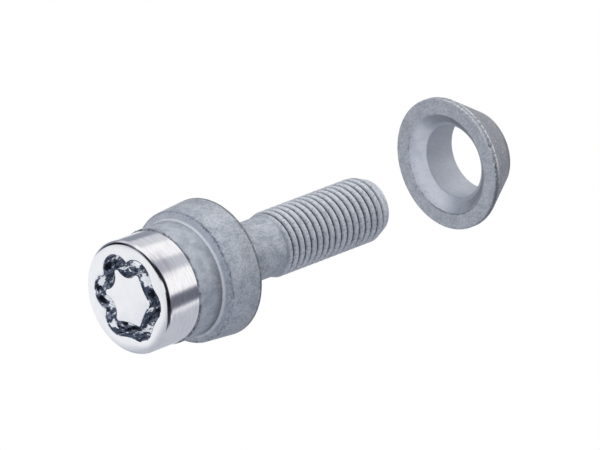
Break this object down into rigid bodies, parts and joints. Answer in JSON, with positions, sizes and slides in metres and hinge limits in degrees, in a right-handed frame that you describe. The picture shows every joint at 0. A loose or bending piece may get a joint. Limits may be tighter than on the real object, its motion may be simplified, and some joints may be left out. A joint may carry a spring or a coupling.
{
  "type": "locking wheel bolt with loose taper seat ring",
  "caption": "Locking wheel bolt with a round head, a wavy key groove in its face, a collar and an M12 thread, with its loose conical seat ring lying beside it.",
  "frame": {"origin": "centre of the bolt's head face", "axes": "+Z along the bolt, from the head face to the end of the thread; the seat ring lies beside it towards -X"},
  "size_m": [0.1124, 0.026, 0.06],
  "materials": {
    "bolt_steel": "bright turned head, matt zinc-flake coat from the neck to the thread",
    "ring_steel": "matt zinc-flake coat"
  },
  "bodies": {
    "root": {"wheel_bolt": "bolt_steel", "seat_ring": "ring_steel"}
  },
  "joints": []
}
